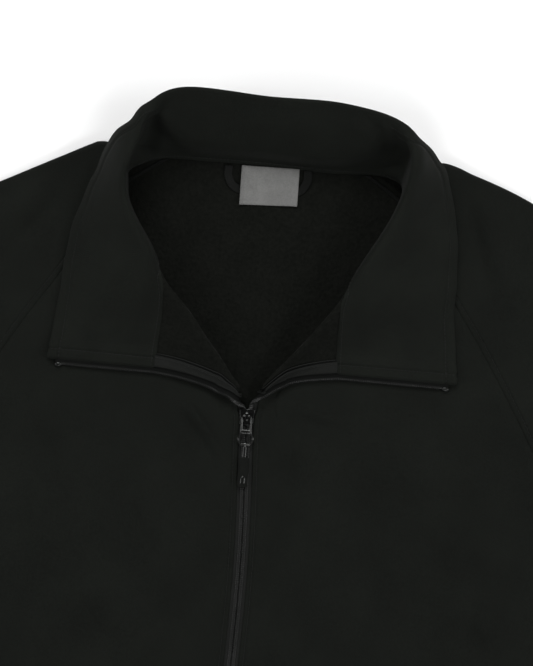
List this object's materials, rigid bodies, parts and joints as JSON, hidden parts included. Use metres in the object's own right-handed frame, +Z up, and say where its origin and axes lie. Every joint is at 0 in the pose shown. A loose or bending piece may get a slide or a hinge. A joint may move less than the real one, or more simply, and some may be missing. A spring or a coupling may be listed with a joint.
{
  "type": "softshell jacket",
  "caption": "Zipped softshell jacket laid flat on its back, collar and upper fronts folded open, raglan sleeves spread, and a zip pull that lifts.",
  "frame": {"origin": "on the back panel's underside, in the middle of the jacket's length and width, level with the surface it lies on", "axes": "+Z up out of the surface, +Y towards the collar, +X towards the wearer's left sleeve"},
  "size_m": [1.6449, 0.8155, 0.0516],
  "materials": {
    "cloth": "matte, tightly woven",
    "fleece": "brushed",
    "tape": "woven tape and nylon coil",
    "black_metal": "glossy black",
    "rubber": "matte",
    "grey_weave": "satin ribbon"
  },
  "bodies": {
    "jacket": {"back_panel": "fleece", "front_panel_left": "cloth", "front_panel_right": "cloth", "sleeve_left": "cloth", "sleeve_right": "cloth", "collar_outer": "cloth", "collar_inner": "cloth", "facing_left": "cloth", "facing_right": "cloth", "zip_tape_left": "tape", "zip_tape_right": "tape", "zip_teeth_left": "tape", "zip_teeth_right": "tape", "zip_stop_left": "black_metal", "zip_stop_right": "black_metal", "zip_box": "black_metal", "zip_slider": "black_metal", "neck_label": "grey_weave", "hanger_loop": "tape"},
    "puller": {"zip_puller": "black_metal"},
    "tab": {"zip_tab": "rubber"}
  },
  "joints": [
    {"name": "puller_hinge", "type": "hinge", "parent": "jacket", "child": "puller", "pos_m": [0, 0.1835, 0.00805], "axis": [-1, 0, 0], "range_deg": [0, 120]},
    {"name": "tab_hinge", "type": "hinge", "parent": "puller", "child": "tab", "pos_m": [0, 0.1637, 0.0077], "axis": [-1, 0, 0], "range_deg": [0, 60]}
  ]
}
